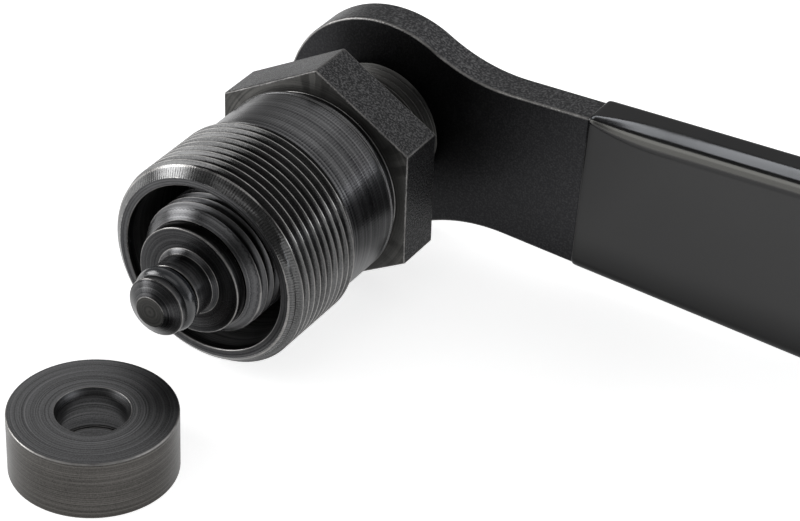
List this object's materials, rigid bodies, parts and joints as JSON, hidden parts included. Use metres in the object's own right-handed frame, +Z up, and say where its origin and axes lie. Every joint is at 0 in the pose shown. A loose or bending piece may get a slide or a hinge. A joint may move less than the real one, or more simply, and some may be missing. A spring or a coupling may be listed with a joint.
{
  "type": "crank puller",
  "caption": "Crank puller: hex-headed body with a crank thread, a spindle turned by a flat dipped lever, a swivel tip with an O-ring nose, and a loose adapter ring.",
  "frame": {"origin": "on the tool's axis where the full crank thread starts, behind the front rim's chamfer", "axes": "+X along the lever, -Y along the axis out of the nose, +Z up as the tool lies"},
  "size_m": [0.1774, 0.0635, 0.0254],
  "materials": {
    "black_turned_steel": "black oxide, turned",
    "spring_steel": "flat snap ring, bright",
    "o_ring_rubber": "glossy, oiled",
    "black_lever_steel": "satin black oxide",
    "grip_vinyl": "dipped, glossy"
  },
  "bodies": {
    "puller": {"puller_body": "black_turned_steel", "adapter_ring": "black_turned_steel"},
    "tip": {"swivel_tip": "black_turned_steel", "nose_o_ring": "o_ring_rubber", "tip_retaining_ring": "spring_steel"},
    "lever": {"spindle": "black_turned_steel", "lever_bar": "black_lever_steel", "lever_grip": "grip_vinyl"}
  },
  "joints": [
    {"name": "tip_travel", "type": "slide", "parent": "puller", "child": "tip", "axis": [0, -1, 0], "range_m": [-0.016, 0.007]},
    {"name": "lever_turn", "type": "hinge", "parent": "tip", "child": "lever", "pos_m": [0, 0, 0], "axis": [0, -1, 0], "range_deg": [-5760, 2520]}
  ],
  "couplings": [
    {"joint": "tip_travel", "follows": "lever_turn", "m_per_rad": 0.00015915}
  ]
}
